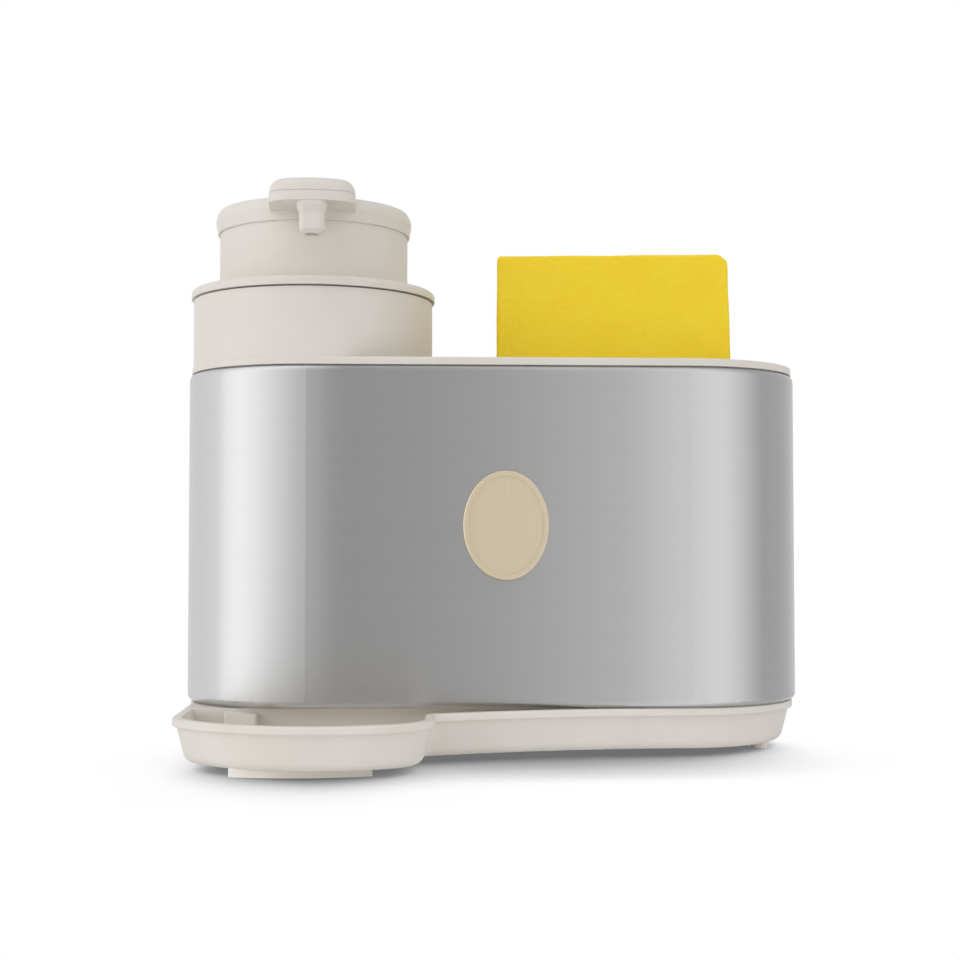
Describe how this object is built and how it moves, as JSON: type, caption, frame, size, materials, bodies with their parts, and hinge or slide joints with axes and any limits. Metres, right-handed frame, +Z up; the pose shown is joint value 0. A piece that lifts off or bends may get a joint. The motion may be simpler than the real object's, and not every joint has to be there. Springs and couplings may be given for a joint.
{
  "type": "soap pump caddy",
  "caption": "Free-standing sink caddy: steel-clad body on a drip tray, a bottle with a press-down soap pump and a sponge on a slotted stand.",
  "frame": {"origin": "bottom centre of the whole object's box, on the standing surface", "axes": "+X along the body from the pump to the sponge, +Y from the drip dish to the back, +Z up"},
  "size_m": [0.22, 0.1394, 0.1959],
  "materials": {
    "cream_plastic": "satin moulded plastic",
    "inner_plastic": "plain moulded plastic",
    "brushed_steel": "fine brushed stainless sheet",
    "gold_plate": "pale gold satin plate",
    "adhesive_pad": "white adhesive foam",
    "cream_rubber": "soft moulded rubber",
    "dark_rubber": "soft black rubber",
    "grey_rubber": "soft grey rubber",
    "spring_steel": "polished stainless steel",
    "clear_tube": "natural polyethylene tube",
    "yellow_foam": "open-cell foam"
  },
  "bodies": {
    "tray": {"drip_tray": "cream_plastic", "front_foot": "cream_rubber", "side_feet": "cream_rubber"},
    "caddy": {"caddy_shell": "cream_plastic", "steel_sleeve": "brushed_steel", "base_cover": "cream_plastic", "base_screws": "spring_steel", "badge_plate": "gold_plate", "badge_pad": "adhesive_pad"},
    "stand": {"sponge_stand": "inner_plastic"},
    "sponge": {"sponge": "yellow_foam"},
    "bottle": {"soap_bottle": "cream_plastic"},
    "pump_lid": {"pump_lid": "cream_plastic", "lid_gasket": "grey_rubber", "guide_cup": "inner_plastic", "pump_cylinder": "inner_plastic", "cylinder_washer": "dark_rubber", "cylinder_nut": "inner_plastic", "stem_bush": "inner_plastic", "inlet_cage": "inner_plastic", "dip_tube": "clear_tube", "return_spring": "spring_steel"},
    "pump_head": {"head_column": "cream_plastic", "press_head": "cream_plastic", "spout_cover": "cream_plastic", "spout_nozzle": "cream_plastic", "plunger_stem": "inner_plastic", "piston": "inner_plastic", "piston_seal": "dark_rubber"},
    "inlet_ball": {"inlet_ball": "spring_steel"},
    "outlet_ball": {"outlet_ball": "spring_steel"}
  },
  "joints": [
    {"name": "caddy_lift", "type": "slide", "parent": "tray", "child": "caddy", "axis": [0, 0, 1], "range_m": [0, 0.08]},
    {"name": "stand_lift", "type": "slide", "parent": "caddy", "child": "stand", "axis": [0, 0, 1], "range_m": [0, 0.12]},
    {"name": "sponge_lift", "type": "slide", "parent": "stand", "child": "sponge", "axis": [0.0239, 0.2577, 0.9659], "range_m": [0, 0.08]},
    {"name": "bottle_lift", "type": "slide", "parent": "caddy", "child": "bottle", "axis": [0, 0, 1], "range_m": [0, 0.125]},
    {"name": "lid_lift", "type": "slide", "parent": "bottle", "child": "pump_lid", "axis": [0, 0, 1], "range_m": [0, 0.14]},
    {"name": "head_press", "type": "slide", "parent": "pump_lid", "child": "pump_head", "axis": [0, 0, -1], "range_m": [0, 0.011], "stiffness_N_per_m": 400, "springref_m": -0.012, "deforming": ["return_spring"]},
    {"name": "inlet_ball_lift", "type": "slide", "parent": "pump_lid", "child": "inlet_ball", "axis": [0, 0, 1], "range_m": [0, 0.0015]},
    {"name": "outlet_ball_lift", "type": "slide", "parent": "pump_head", "child": "outlet_ball", "axis": [0, 0, 1], "range_m": [0, 0.002]}
  ]
}
